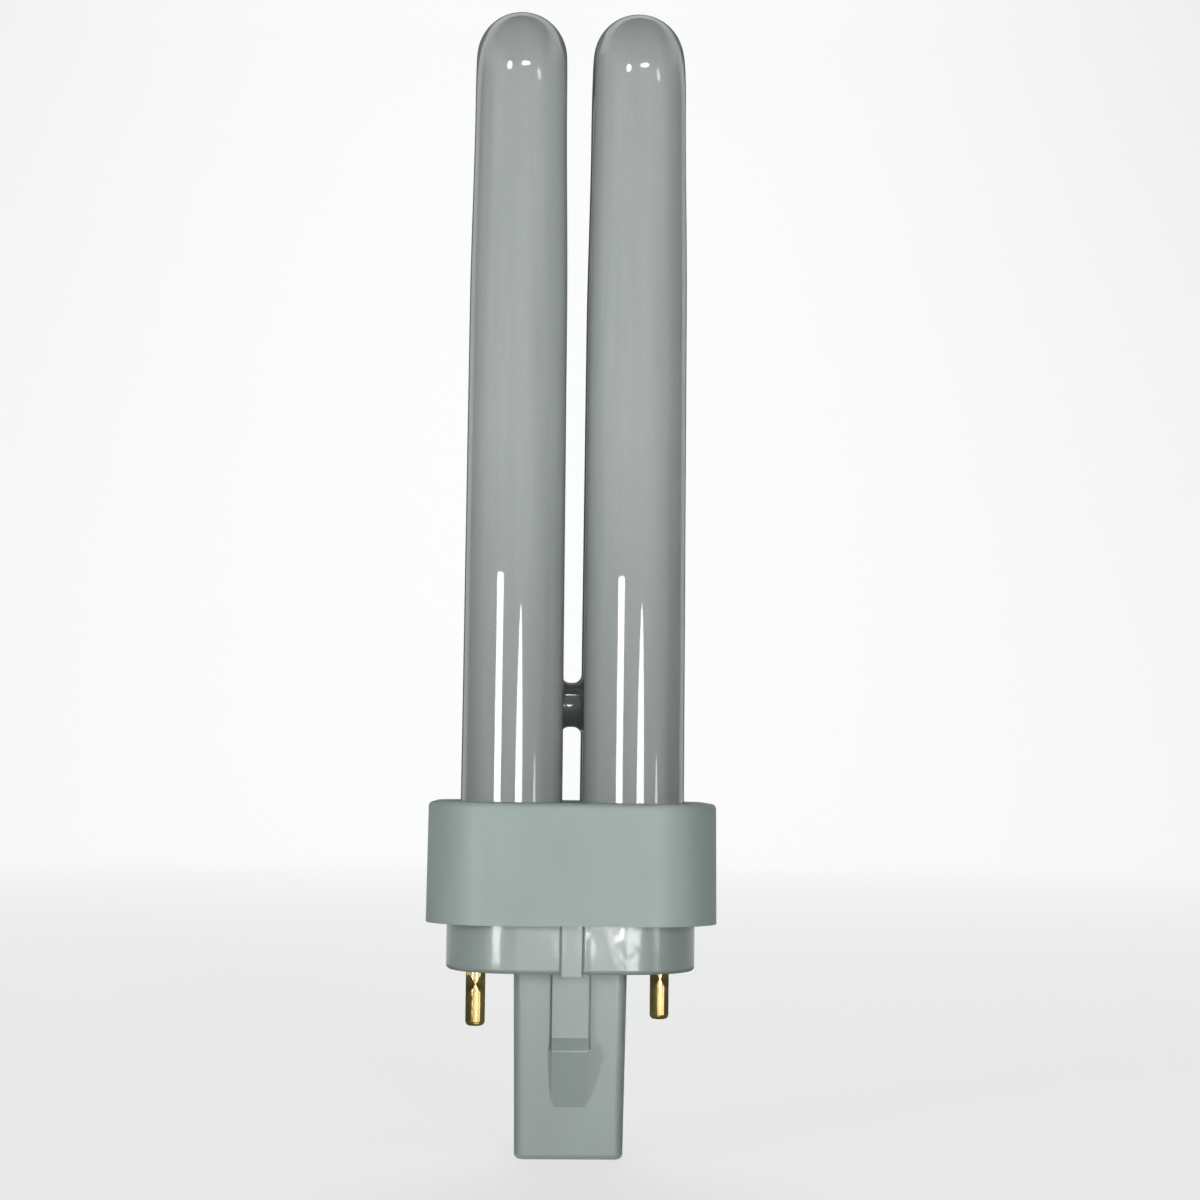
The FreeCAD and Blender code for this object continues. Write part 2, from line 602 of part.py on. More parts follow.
os.makedirs("parts", exist_ok=True)
for name, shape in lamp().items():
    solids = shape.Solids
    kept = solids[0] if len(solids) == 1 else shape
    kept.exportStep("parts/" + name + ".step")
    box = kept.BoundBox
    print(name, len(solids), kept.isValid(), round(kept.Volume, 2),
          [round(value, 2) for value in (box.XMin, box.YMin, box.ZMin, box.XMax, box.YMax, box.ZMax)])
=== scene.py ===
import math

import bmesh
import bpy
from mathutils import Matrix, Vector


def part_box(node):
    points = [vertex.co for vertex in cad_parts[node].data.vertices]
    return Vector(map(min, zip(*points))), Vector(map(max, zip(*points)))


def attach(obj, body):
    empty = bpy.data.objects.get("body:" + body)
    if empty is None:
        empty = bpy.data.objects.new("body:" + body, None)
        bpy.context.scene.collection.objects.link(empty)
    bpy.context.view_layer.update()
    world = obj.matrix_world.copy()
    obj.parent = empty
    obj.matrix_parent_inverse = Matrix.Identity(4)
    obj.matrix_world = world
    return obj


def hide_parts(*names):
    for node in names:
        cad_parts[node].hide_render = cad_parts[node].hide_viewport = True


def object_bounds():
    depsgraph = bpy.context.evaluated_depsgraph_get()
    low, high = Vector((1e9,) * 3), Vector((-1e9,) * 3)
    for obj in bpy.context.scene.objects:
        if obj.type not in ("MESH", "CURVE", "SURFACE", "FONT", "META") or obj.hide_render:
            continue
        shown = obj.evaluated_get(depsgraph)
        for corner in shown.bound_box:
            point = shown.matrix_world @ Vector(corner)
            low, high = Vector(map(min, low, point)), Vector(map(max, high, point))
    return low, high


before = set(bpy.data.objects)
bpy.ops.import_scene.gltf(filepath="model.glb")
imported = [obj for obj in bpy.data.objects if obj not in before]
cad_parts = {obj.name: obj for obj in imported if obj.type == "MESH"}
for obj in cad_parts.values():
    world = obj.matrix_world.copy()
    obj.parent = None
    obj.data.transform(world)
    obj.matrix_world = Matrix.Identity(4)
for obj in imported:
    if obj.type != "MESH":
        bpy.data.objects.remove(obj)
cad_low, cad_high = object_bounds()

# Viewpoint: straight in front of the lamp, a little to its left and below its middle, looking
# slightly up. Place, aim and lens come from fitting the outlines of tubes, cap and pins.
IMAGE_SIZE = 1200
FOCAL_PIXELS = 2322.4
SENSOR_WIDTH = 36.0
CAMERA_PLACE = Vector((-0.0054, -0.28155, 0.04453))
CAMERA_PITCH = math.radians(4.31)
CAMERA_YAW = math.radians(1.75)
CAMERA_ROLL = math.radians(-0.65)
NEAREST_SEEN = 0.01

ahead = Vector((
    math.sin(CAMERA_YAW) * math.cos(CAMERA_PITCH),
    math.cos(CAMERA_YAW) * math.cos(CAMERA_PITCH),
    math.sin(CAMERA_PITCH),
))
level_right = Vector((math.cos(CAMERA_YAW), -math.sin(CAMERA_YAW), 0))
level_up = level_right.cross(ahead)
picture_right = math.cos(CAMERA_ROLL) * level_right - math.sin(CAMERA_ROLL) * level_up
picture_up = picture_right.cross(ahead)
camera_data = bpy.data.cameras.new("camera")
camera_data.sensor_fit = "HORIZONTAL"
camera_data.sensor_width = SENSOR_WIDTH
camera_data.lens = FOCAL_PIXELS * SENSOR_WIDTH / IMAGE_SIZE
camera_data.clip_start = NEAREST_SEEN
camera = bpy.data.objects.new("camera", camera_data)
turn = Matrix((picture_right, picture_up, -ahead)).transposed()
camera.matrix_world = Matrix.Translation(CAMERA_PLACE) @ turn.to_4x4()
bpy.context.scene.collection.objects.link(camera)
bpy.context.scene.camera = camera
bpy.context.scene.view_settings.view_transform = "Standard"


# Studio floor: one round sheet of pale card that curves up into a wall all the way round. Seen
# directly, or in metal and glass, it is nearly white. It lights the lamp only as card would.
CARD_COLOUR = (0.42, 0.425, 0.42, 1)
CARD_ROUGHNESS = 0.85
CARD_SEEN_COLOUR = (0.25, 0.255, 0.25, 1)
CARD_GLOW = (0.93, 0.94, 0.93, 1)
CARD_GLOW_STRENGTH = 0.72
FLOOR_RADIUS = 1.6
NEAR_FLOOR_RADIUS = 0.25
WALL_CURVE = 0.7
WALL_TOP = 1.9
ROUND_STEPS = 96
CURVE_STEPS = 20


def new_material(name):
    """Material with its tree of nodes and its main shader."""
    material = bpy.data.materials.new(name)
    material.use_nodes = True
    tree = material.node_tree
    return material, tree, tree.nodes["Principled BSDF"]


def show(name, mesh, material):
    """Object at the origin that shows a mesh with smooth faces, in one material."""
    mesh.materials.append(material)
    mesh.polygons.foreach_set("use_smooth", [True] * len(mesh.polygons))
    piece = bpy.data.objects.new(name, mesh)
    bpy.context.scene.collection.objects.link(piece)
    return piece


def turned_sheet(name, profile, start, end, steps):
    """Sheet made by turning a profile of (radius, height) points about the lamp's axis.

    It goes from one azimuth to another, in degrees from straight in front towards +X.
    """
    start, end = math.radians(start), math.radians(end)
    corners, faces = [], []
    row = len(profile)
    for step in range(steps + 1):
        angle = start + (end - start) * step / steps
        corners += [(radius * math.sin(angle), -radius * math.cos(angle), height)
                    for radius, height in profile]
    for step in range(steps):
        for point in range(row - 1):
            low = step * row + point
            faces.append((low, low + row, low + row + 1, low + 1))
    mesh = bpy.data.meshes.new(name)
    mesh.from_pydata(corners, [], faces)
    return mesh


card, tree, shader = new_material("card")
shader.inputs["Base Color"].default_value = CARD_COLOUR
shader.inputs["Roughness"].default_value = CARD_ROUGHNESS
glow = tree.nodes.new("ShaderNodeEmission")
glow.inputs["Color"].default_value = CARD_GLOW
glow.inputs["Strength"].default_value = CARD_GLOW_STRENGTH
lit = tree.nodes.new("ShaderNodeBsdfDiffuse")
lit.inputs["Color"].default_value = CARD_SEEN_COLOUR
seen_card = tree.nodes.new("ShaderNodeAddShader")
tree.links.new(lit.outputs["BSDF"], seen_card.inputs[0])
tree.links.new(glow.outputs["Emission"], seen_card.inputs[1])
ray = tree.nodes.new("ShaderNodeLightPath").outputs
seen = tree.nodes.new("ShaderNodeMath")
seen.operation = "MAXIMUM"
tree.links.new(ray["Is Camera Ray"], seen.inputs[0])
tree.links.new(ray["Is Glossy Ray"], seen.inputs[1])
choice = tree.nodes.new("ShaderNodeMixShader")
tree.links.new(seen.outputs["Value"], choice.inputs["Fac"])
tree.links.new(shader.outputs["BSDF"], choice.inputs[1])
tree.links.new(seen_card.outputs["Shader"], choice.inputs[2])
tree.links.new(choice.outputs["Shader"], tree.nodes["Material Output"].inputs["Surface"])

card_profile = [(0.0, 0.0), (NEAR_FLOOR_RADIUS, 0.0), (FLOOR_RADIUS - WALL_CURVE, 0.0)]
for step in range(1, CURVE_STEPS + 1):
    angle = 0.5 * math.pi * step / CURVE_STEPS
    card_profile.append((
        FLOOR_RADIUS - WALL_CURVE + WALL_CURVE * math.sin(angle),
        WALL_CURVE * (1 - math.cos(angle)),
    ))
card_profile.append((FLOOR_RADIUS, WALL_TOP))
floor_sheet = turned_sheet("card_floor", card_profile, 0, 360, ROUND_STEPS)
show("card_floor", floor_sheet, card)


# Studio light, soft and plain. Panels in front, behind and above light the lamp, together with grey
# air. Tall narrow lamps draw the thin bright lines down its glass, and smaller ones the spots on
# its bends.
AIR_COLOUR = (0.80, 0.81, 0.81, 1)
AIR_STRENGTH = 0.125
LINE_DISTANCE = 0.30
SPOT_DISTANCE = 0.60
BEND_FRONT_Y = -0.0127
SPOTS_BELOW_TOP = 0.010
RIDGE_LAMP_AZIMUTH = 2.0
RIDGE_LAMP_Z = 0.026
RIDGE_LAMP_WIDTH = 0.012
RIDGE_LAMP_HEIGHT = 0.020
RIDGE_LAMP_RADIANCE = 78.0


def area_lamp(name, shape, place, aim, width, height, radiance, lights=True, shows=True, spread=180):
    """Lamp that faces its aim. It lights what it faces, shows in gloss, or both.

    A spread under 180 degrees is a honeycomb in front of it, that keeps its light off the floor.
    Its energy is cut by as much as the honeycomb holds back.
    """
    data = bpy.data.lights.new(name, "AREA")
    data.shape = shape
    data.size = width
    data.size_y = height
    area = width * height * (math.pi / 4 if shape == "ELLIPSE" else 1)
    data.energy = radiance * area * math.pi
    if spread < 180:
        half = math.radians(spread) / 2
        data.spread = 2 * half
        data.energy *= 1 - half / math.tan(half)
    lamp = bpy.data.objects.new(name, data)
    place, aim = Vector(place), Vector(aim)
    facing = (aim - place).to_track_quat("-Z", "Y").to_matrix().to_4x4()
    lamp.matrix_world = Matrix.Translation(place) @ facing
    lamp.visible_camera = False
    lamp.visible_diffuse = lights
    lamp.visible_glossy = shows
    bpy.context.scene.collection.objects.link(lamp)


def around(azimuth, elevation, distance, centre):
    """Place that lies in a direction, in degrees from straight in front towards +X, and up."""
    turned, raised = math.radians(azimuth), math.radians(elevation)
    level = distance * math.cos(raised)
    return Vector(centre) + Vector((
        level * math.sin(turned), -level * math.cos(turned), distance * math.sin(raised)))


# Panels: azimuth, elevation, distance, width, height, radiance and spread. They light the lamp, and
# don't show in its gloss.
middle = (Vector(cad_low) + Vector(cad_high)) / 2
for name, azimuth, elevation, distance, width, height, radiance, spread in (
        ("front_panel", 16, 6, 1.0, 0.12, 0.30, 28.0, 80),
        ("left_panel", -46, 5, 1.0, 0.10, 0.30, 37.5, 80),
        ("near_panel", -1, 5, 1.0, 0.12, 0.30, 6.5, 80),
        ("right_panel", 64, 6, 1.0, 0.10, 0.30, 7.0, 80),
        ("back_panel", 180, 30, 1.7, 0.90, 0.50, 13.0, 180),
        ("top_panel", 0, 80, 1.2, 0.80, 0.80, 0.3, 180)):
    place = around(azimuth, elevation, distance, middle)
    area_lamp(name, "RECTANGLE", place, middle, width, height, radiance, shows=False, spread=spread)

# Tall lamps: shape, azimuth, width, height and radiance. They show only in gloss, and reach as high
# as the bright lines in the glass do.
plug_end = (0, 0, 0)
for name, shape, azimuth, width, height, radiance in (
        ("left_line", "RECTANGLE", -32.5, 0.078, 0.188, 19.0),
        ("centre_line", "ELLIPSE", 13.5, 0.094, 0.174, 17.0),
        ("right_line", "ELLIPSE", 50, 0.048, 0.102, 8.0)):
    place = around(azimuth, 0, LINE_DISTANCE, plug_end)
    area_lamp(name, shape, place, plug_end, width, height, radiance, lights=False)

# Small lamps: azimuth, elevation, width, height and radiance, seen from the front of the bends.
bend_front = (middle.x, BEND_FRONT_Y, cad_high.z - SPOTS_BELOW_TOP)
for name, azimuth, elevation, width, height, radiance in (
        ("left_spot", -37, 43, 0.12, 0.095, 18.0),
        ("centre_spot", 12, 47.5, 0.20, 0.065, 18.0),
        ("right_spot", 48.5, 34, 0.09, 0.13, 7.0)):
    place = around(azimuth, elevation, SPOT_DISTANCE, bend_front)
    area_lamp(name, "ELLIPSE", place, bend_front, width, height, radiance, lights=False)

# A small lamp for the ridge of the latch, lower than what the glass mirrors.
latch = (0, 0, RIDGE_LAMP_Z)
place = around(RIDGE_LAMP_AZIMUTH, 0, LINE_DISTANCE, latch)
area_lamp("ridge_lamp", "RECTANGLE", place, latch, RIDGE_LAMP_WIDTH, RIDGE_LAMP_HEIGHT,
          RIDGE_LAMP_RADIANCE, lights=False)

air = bpy.data.worlds.new("studio_air")
air.use_nodes = True
air.node_tree.nodes["Background"].inputs["Color"].default_value = AIR_COLOUR
air.node_tree.nodes["Background"].inputs["Strength"].default_value = AIR_STRENGTH
bpy.context.scene.world = air


# Studio screens and mats: sheets of dark card that the camera doesn't see. The ones at the sides and
# behind keep the edges of the glass crisp. Lower ones are what the polished pins and disc mirror,
# with bands of glowing card between them.
SCREEN_COLOUR = (0.15, 0.145, 0.135, 1)
SCREEN_ROUGHNESS = 0.9
SCREEN_RADIUS = 0.75
SCREEN_FOOT_Z = 0.001
SCREEN_TOP_Z = 0.60
SCREEN_STEPS = 48
LOW_RADIUS = 0.12
LOW_FOOT_Z = 0.0005
LOW_BAND_TOP_Z = 0.0085
LOW_SCREEN_TOP_Z = 0.0115
LOW_BAND_STRENGTH = 1.4
DISC_BAND_RADIUS = 0.31
DISC_BAND_TOP_Z = 0.028
DISC_BAND_STRENGTH = 2.4
MAT_Z = 0.0004
MAT_STEPS = 96


def keep_in_studio(sheet, only_mirrored):
    """Makes a sheet part of the studio, that shows in gloss and not to the camera."""
    sheet.visible_camera = False
    if only_mirrored:
        sheet.visible_diffuse = False
        sheet.visible_shadow = False


def screen(name, material, radius, low, high, start, end, only_mirrored=True):
    """Upright screen round part of the lamp, from low to high, between two azimuths."""
    sheet = turned_sheet(name, [(radius, low), (radius, high)], start, end, SCREEN_STEPS)
    keep_in_studio(show(name, sheet, material), only_mirrored)


def mat(name, inner, outer, start, end):
    """Dark mat on the floor, a part of a ring between two azimuths."""
    sheet = turned_sheet(name, [(inner, MAT_Z), (outer, MAT_Z)], start, end, MAT_STEPS)
    keep_in_studio(show(name, sheet, dark_card), True)


def glowing(name, strength):
    """White card that glows by itself."""
    material, tree, shader = new_material(name)
    shader.inputs["Base Color"].default_value = (0, 0, 0, 1)
    shader.inputs["Emission Color"].default_value = (1, 1, 1, 1)
    shader.inputs["Emission Strength"].default_value = strength
    return material


dark_card, tree, shader = new_material("dark_card")
shader.inputs["Base Color"].default_value = SCREEN_COLOUR
shader.inputs["Roughness"].default_value = SCREEN_ROUGHNESS
pin_glow = glowing("pin_glow", LOW_BAND_STRENGTH)
disc_glow = glowing("disc_glow", DISC_BAND_STRENGTH)

for name, start, end, only_mirrored in (
        ("left_screen", -124, -74, False),
        ("right_screen", 74, 124, False),
        ("back_screen", 150, 210, True)):
    screen(name, dark_card, SCREEN_RADIUS, SCREEN_FOOT_Z, SCREEN_TOP_Z, start, end, only_mirrored)
for name, material, radius, high, start, end in (
        ("low_band_left", pin_glow, LOW_RADIUS, LOW_BAND_TOP_Z, -22, -2),
        ("low_band_right", pin_glow, LOW_RADIUS, LOW_BAND_TOP_Z, 6, 62),
        ("low_screen_left", dark_card, LOW_RADIUS, LOW_SCREEN_TOP_Z, -172, -22),
        ("low_screen_right", dark_card, LOW_RADIUS, LOW_SCREEN_TOP_Z, 62, 172),
        ("disc_band_left", disc_glow, DISC_BAND_RADIUS, DISC_BAND_TOP_Z, -14, -2.5),
        ("disc_band_right", disc_glow, DISC_BAND_RADIUS, DISC_BAND_TOP_Z, 3.5, 9)):
    screen(name, material, radius, LOW_FOOT_Z, high, start, end)
for name, inner, outer, start, end in (
        ("near_mat", 0.0, 0.033, 40, 320),
        ("middle_mat", 0.033, 0.10, 14, 348),
        ("far_mat", 0.10, 0.25, 7, 355),
        ("front_mat", 0.27, 0.60, -2.4, 3.4)):
    mat(name, inner, outer, start, end)


# Discharge tube: two U-bent glass tubes, fused to each other by a short bridge low down behind.
# Clear glass over a white powder coat. Each tube is drawn thinner towards its bend, and most there.
LEG_PITCH_X = 0.0143
LEG_PITCH_Y = 0.01506
TUBE_RADIUS_AT_CAP = 0.00598
TUBE_RADIUS_AT_BEND = 0.00575
BEND_NARROWING = 0.00026
NARROWS_FROM_Z = 0.100
LEG_END_BELOW_COLLAR = 0.0089
LEG_END_ROUNDING = 0.002
BEND_STEPS = 40
PATH_STEP = 0.001
TUBE_SIDES = 80
GLASS_WAVE = 0.00003
GLASS_WAVE_SCALE = 45.0

tube_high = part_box("discharge_tube")[1]
collar_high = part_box("cap_collar")[1]
bend_radius = LEG_PITCH_Y / 2
bend_z = tube_high.z - (TUBE_RADIUS_AT_BEND - BEND_NARROWING) - bend_radius
leg_end_z = collar_high.z - LEG_END_BELOW_COLLAR


def tube_tree():
    """Tree that draws round glass along bent centre lines, and notes where each point lies on it."""
    tree = bpy.data.node_groups.new("bent_tube", "GeometryNodeTree")
    sockets, nodes, links = tree.interface, tree.nodes, tree.links
    sockets.new_socket("Geometry", in_out="OUTPUT", socket_type="NodeSocketGeometry")
    sockets.new_socket("Geometry", in_out="INPUT", socket_type="NodeSocketGeometry")
    for name in ("Bend radius", "Cap z", "Bend z", "Radius at cap", "Radius at bend", "Narrowing",
                 "Narrows from z", "End rounding", "Step", "Wave", "Wave scale"):
        sockets.new_socket(name, in_out="INPUT", socket_type="NodeSocketFloat")
    for name in ("Bend steps", "Sides"):
        sockets.new_socket(name, in_out="INPUT", socket_type="NodeSocketInt")
    sockets.new_socket("Glass", in_out="INPUT", socket_type="NodeSocketMaterial")
    given = nodes.new("NodeGroupInput").outputs

    def reckoned(operation, first, second=None):
        sum_node = nodes.new("ShaderNodeMath")
        sum_node.operation = operation
        for socket, value in zip(sum_node.inputs, (first, second)):
            if isinstance(value, (int, float)):
                socket.default_value = value
            elif value is not None:
                links.new(value, socket)
        return sum_node.outputs["Value"]

    # Centre line with its two round corners, cut into even steps
    line = nodes.new("GeometryNodeMeshToCurve")
    links.new(given["Geometry"], line.inputs["Mesh"])
    corner = nodes.new("GeometryNodeFilletCurve")
    corner.mode = "POLY"
    corner.inputs["Limit Radius"].default_value = True
    links.new(line.outputs["Curve"], corner.inputs["Curve"])
    links.new(given["Bend steps"], corner.inputs["Count"])
    links.new(given["Bend radius"], corner.inputs["Radius"])
    even = nodes.new("GeometryNodeResampleCurve")
    even.mode = "LENGTH"
    links.new(corner.outputs["Curve"], even.inputs["Curve"])
    links.new(given["Step"], even.inputs["Length"])

    # Radius: a slow taper up to the bend, a quicker one close to it, and a rounded end in the cap
    height = nodes.new("ShaderNodeSeparateXYZ")
    links.new(nodes.new("GeometryNodeInputPosition").outputs["Position"], height.inputs["Vector"])
    taper = nodes.new("ShaderNodeMapRange")
    links.new(height.outputs["Z"], taper.inputs["Value"])
    for source, target in (("Cap z", "From Min"), ("Bend z", "From Max"),
                           ("Radius at cap", "To Min"), ("Radius at bend", "To Max")):
        links.new(given[source], taper.inputs[target])
    narrowing = nodes.new("ShaderNodeMapRange")
    narrowing.interpolation_type = "SMOOTHSTEP"
    links.new(height.outputs["Z"], narrowing.inputs["Value"])
    for source, target in (("Narrows from z", "From Min"), ("Bend z", "From Max"),
                           ("Narrowing", "To Max")):
        links.new(given[source], narrowing.inputs[target])
    passed = nodes.new("GeometryNodeSplineParameter").outputs["Length"]
    whole = nodes.new("GeometryNodeSplineLength").outputs["Length"]
    to_end = reckoned("MINIMUM", passed, reckoned("SUBTRACT", whole, passed))
    share_to_end = reckoned("DIVIDE", to_end, given["End rounding"])
    into_end = reckoned("MAXIMUM", 0.0, reckoned("SUBTRACT", 1.0, share_to_end))
    level = reckoned("SQRT", reckoned("SUBTRACT", 1.0, reckoned("MULTIPLY", into_end, into_end)))
    drop = reckoned("MULTIPLY", given["End rounding"], reckoned("SUBTRACT", 1.0, level))
    tapered = reckoned("SUBTRACT", taper.outputs["Result"], narrowing.outputs["Result"])
    radius = reckoned("SUBTRACT", tapered, drop)

    # Glass round the line, with each point's place noted: how far along its tube, and which way
    # round it
    along = nodes.new("GeometryNodeCaptureAttribute")
    along.capture_items.new("FLOAT", "along")
    links.new(even.outputs["Curve"], along.inputs["Geometry"])
    links.new(passed, along.inputs["along"])
    ring = nodes.new("GeometryNodeCurvePrimitiveCircle")
    ring.inputs["Radius"].default_value = 1.0
    links.new(given["Sides"], ring.inputs["Resolution"])
    round_way = nodes.new("GeometryNodeCaptureAttribute")
    round_way.capture_items.new("FLOAT", "way")
    links.new(ring.outputs["Curve"], round_way.inputs["Geometry"])
    links.new(nodes.new("GeometryNodeSplineParameter").outputs["Factor"], round_way.inputs["way"])
    tube = nodes.new("GeometryNodeCurveToMesh")
    tube.inputs["Fill Caps"].default_value = True
    links.new(round_way.outputs["Geometry"], tube.inputs["Profile Curve"])
    links.new(along.outputs["Geometry"], tube.inputs["Curve"])
    links.new(radius, tube.inputs["Scale"])
    turned = reckoned("MULTIPLY", round_way.outputs["way"], 2 * math.pi)
    lie = nodes.new("ShaderNodeCombineXYZ")
    for operation, axis in (("COSINE", "X"), ("SINE", "Y")):
        across = reckoned("MULTIPLY", reckoned(operation, turned), given["Radius at cap"])
        links.new(across, lie.inputs[axis])
    links.new(along.outputs["along"], lie.inputs["Z"])
    noted = nodes.new("GeometryNodeStoreNamedAttribute")
    noted.data_type = "FLOAT_VECTOR"
    noted.domain = "POINT"
    noted.inputs["Name"].default_value = "glass_lie"
    links.new(tube.outputs["Mesh"], noted.inputs["Geometry"])
    links.new(lie.outputs["Vector"], noted.inputs["Value"])

    # Drawn glass is never quite even: its wall swells and sinks by a few hundredths of a millimetre
    wave = nodes.new("ShaderNodeTexNoise")
    wave.inputs["Detail"].default_value = 1.0
    links.new(given["Wave scale"], wave.inputs["Scale"])
    swell = reckoned("MULTIPLY", reckoned("SUBTRACT", wave.outputs["Fac"], 0.5), given["Wave"])
    outward = nodes.new("ShaderNodeVectorMath")
    outward.operation = "SCALE"
    links.new(nodes.new("GeometryNodeInputNormal").outputs["Normal"], outward.inputs["Vector"])
    links.new(swell, outward.inputs["Scale"])
    moved = nodes.new("GeometryNodeSetPosition")
    links.new(noted.outputs["Geometry"], moved.inputs["Geometry"])
    links.new(outward.outputs["Vector"], moved.inputs["Offset"])
    real = nodes.new("GeometryNodeRealizeInstances")
    links.new(moved.outputs["Geometry"], real.inputs["Geometry"])
    dressed = nodes.new("GeometryNodeSetMaterial")
    links.new(real.outputs["Geometry"], dressed.inputs["Geometry"])
    links.new(given["Glass"], dressed.inputs["Material"])
    links.new(dressed.outputs["Geometry"], nodes.new("NodeGroupOutput").inputs["Geometry"])
    return tree


def grown(name, mesh, tree, values):
    """Plain mesh that a tree makes from a mesh, with the tree's inputs set by their names."""
    carrier = bpy.data.objects.new(name, mesh)
    bpy.context.scene.collection.objects.link(carrier)
    growth = carrier.modifiers.new(name, "NODES")
    growth.node_group = tree
    for item in tree.interface.items_tree:
        if item.in_out == "INPUT" and item.name in values:
            growth[item.identifier] = values[item.name]
    ready = carrier.evaluated_get(bpy.context.evaluated_depsgraph_get())
    plain = bpy.data.meshes.new_from_object(ready)
    carrier.modifiers.remove(growth)
    bpy.data.objects.remove(carrier)
    return plain


def ring_of(bm, points):
    """Corners at a ring of points."""
    return [bm.verts.new(point) for point in points]


def skin(bm, rings):
    """Closed skin over rings of equally many points, with both ends filled."""
    for low, high in zip(rings, rings[1:]):
        for i in range(len(low)):
            j = (i + 1) % len(low)
            bm.faces.new((low[i], low[j], high[j], high[i]))
    bm.faces.new(rings[0][::-1])
    bm.faces.new(rings[-1])


# The bridge swells out where it was melted into each leg, and follows the leg's round wall there.
BRIDGE_RADIUS = 0.00275
BRIDGE_ABOVE_COLLAR = 0.0119
BRIDGE_BLEND = 0.001
BRIDGE_SIDES = 64
BRIDGE_STEPS = 12
BRIDGE_SUNK = 0.0006


def add_bridge(bm):
    """Adds the glass between the two rear legs."""
    z = collar_high.z + BRIDGE_ABOVE_COLLAR
    share = (z - leg_end_z) / (bend_z - leg_end_z)
    leg = TUBE_RADIUS_AT_CAP + share * (TUBE_RADIUS_AT_BEND - TUBE_RADIUS_AT_CAP)

    def ring(blend, side, sunk=0.0):
        """Ring round the bridge: blend is 1 at a leg's wall, and 0 where the bridge is plain."""
        points = []
        for i in range(BRIDGE_SIDES):
            angle = 2 * math.pi * i / BRIDGE_SIDES
            radius = BRIDGE_RADIUS + BRIDGE_BLEND * (1 - math.cos(blend * math.pi / 2))
            y = radius * math.cos(angle)
            wall = LEG_PITCH_X / 2 - math.sqrt(leg * leg - y * y)
            x = wall - BRIDGE_BLEND * (1 - math.sin(blend * math.pi / 2)) + sunk
            points.append((side * x, LEG_PITCH_Y / 2 + y, z + radius * math.sin(angle)))
        return ring_of(bm, points)

    rings = [ring(1, -1, BRIDGE_SUNK)]
    rings += [ring(1 - step / BRIDGE_STEPS, -1) for step in range(BRIDGE_STEPS + 1)]
    rings += [ring(step / BRIDGE_STEPS, 1) for step in range(BRIDGE_STEPS + 1)]
    rings.append(ring(1, 1, BRIDGE_SUNK))
    skin(bm, rings)


# Inside the cap the front legs end in a flat press round their wires, and the rear left leg in
# the tip through which the tube was pumped out.
PRESS_HALF_WIDTH = 0.0043
PRESS_HALF_THICKNESS = 0.0013
PRESS_HEIGHT = 0.0027
PRESS_EDGE = 0.0002
TIP_RADIUS = 0.0015
TIP_LENGTH = 0.0034
TIP_STEPS = 8
END_SUNK = 0.0005
END_SIDES = 48


def add_press(bm, x, y):
    """Adds the flat end of a leg, with long rounded sides."""
    def ring(z, inset):
        points = []
        for i in range(END_SIDES):
            angle = 2 * math.pi * i / END_SIDES
            end_centre = math.copysign(PRESS_HALF_WIDTH - PRESS_HALF_THICKNESS, math.cos(angle))
            reach = PRESS_HALF_THICKNESS - inset
            points.append((x + end_centre + reach * math.cos(angle), y + reach * math.sin(angle), z))
        return ring_of(bm, points)

    foot = leg_end_z - PRESS_HEIGHT
    skin(bm, [ring(foot, PRESS_EDGE), ring(foot + PRESS_EDGE, 0), ring(leg_end_z + END_SUNK, 0)])


def add_tip(bm, x, y):
    """Adds the short sealed tip of a leg, rounded at its end."""
    def ring(z, radius):
        turns = [2 * math.pi * i / END_SIDES for i in range(END_SIDES)]
        return ring_of(bm, [(x + radius * math.cos(a), y + radius * math.sin(a), z) for a in turns])

    neck = leg_end_z + END_SUNK - TIP_LENGTH
    rings = []
    for step in range(1, TIP_STEPS + 1):
        angle = 0.5 * math.pi * step / TIP_STEPS
        rings.append(ring(neck - TIP_RADIUS * math.cos(angle), TIP_RADIUS * math.sin(angle)))
    rings.append(ring(leg_end_z + END_SUNK, TIP_RADIUS))
    skin(bm, rings)


# The coat is a fine white powder that was flushed through the tube and drained down it, so it is
# faintly streaked along the glass. Towards the cap it is darker: partly the greying a coat takes
# near the electrodes, partly painted shade. The glass over it is smooth.
COAT_LIGHT = (0.475, 0.520, 0.500, 1)
COAT_SHADE = (0.385, 0.425, 0.410, 1)
COAT_LILAC = (0.460, 0.484, 0.482, 1)
COAT_LILAC_SHARE = 0.55
COAT_GRAIN = (0.58, 0.61, 0.59, 1)
COAT_GRAIN_SHARE = 0.18
COAT_GRAIN_DEPTH = 0.00001
COAT_GREYED_AND_SHADED_BY_CAP = 0.68
COAT_ROUGHNESS = 0.62
COAT_SHEEN = 0.15
GREYING_AND_SHADE_FROM_Z = 0.041
GREYING_AND_SHADE_TO_Z = 0.085
GLASS_IOR = 1.52
GLASS_ROUGHNESS = 0.02
GLASS_RIPPLE_DEPTH = 0.00003
MIX_FACTOR, MIX_FIRST, MIX_SECOND, MIX_COLOUR = 0, 6, 7, 2


def coordinates(tree, scale, attribute=None):
    """Object coordinates, or a named attribute, stretched by one scale or by one for each axis."""
    if attribute:
        place = tree.nodes.new("ShaderNodeAttribute")
        place.attribute_name = attribute
        output = place.outputs["Vector"]
    else:
        output = tree.nodes.new("ShaderNodeTexCoord").outputs["Object"]
    stretch = tree.nodes.new("ShaderNodeMapping")
    stretch.inputs["Scale"].default_value = scale if isinstance(scale, tuple) else (scale,) * 3
    tree.links.new(output, stretch.inputs["Vector"])
    return stretch.outputs["Vector"]


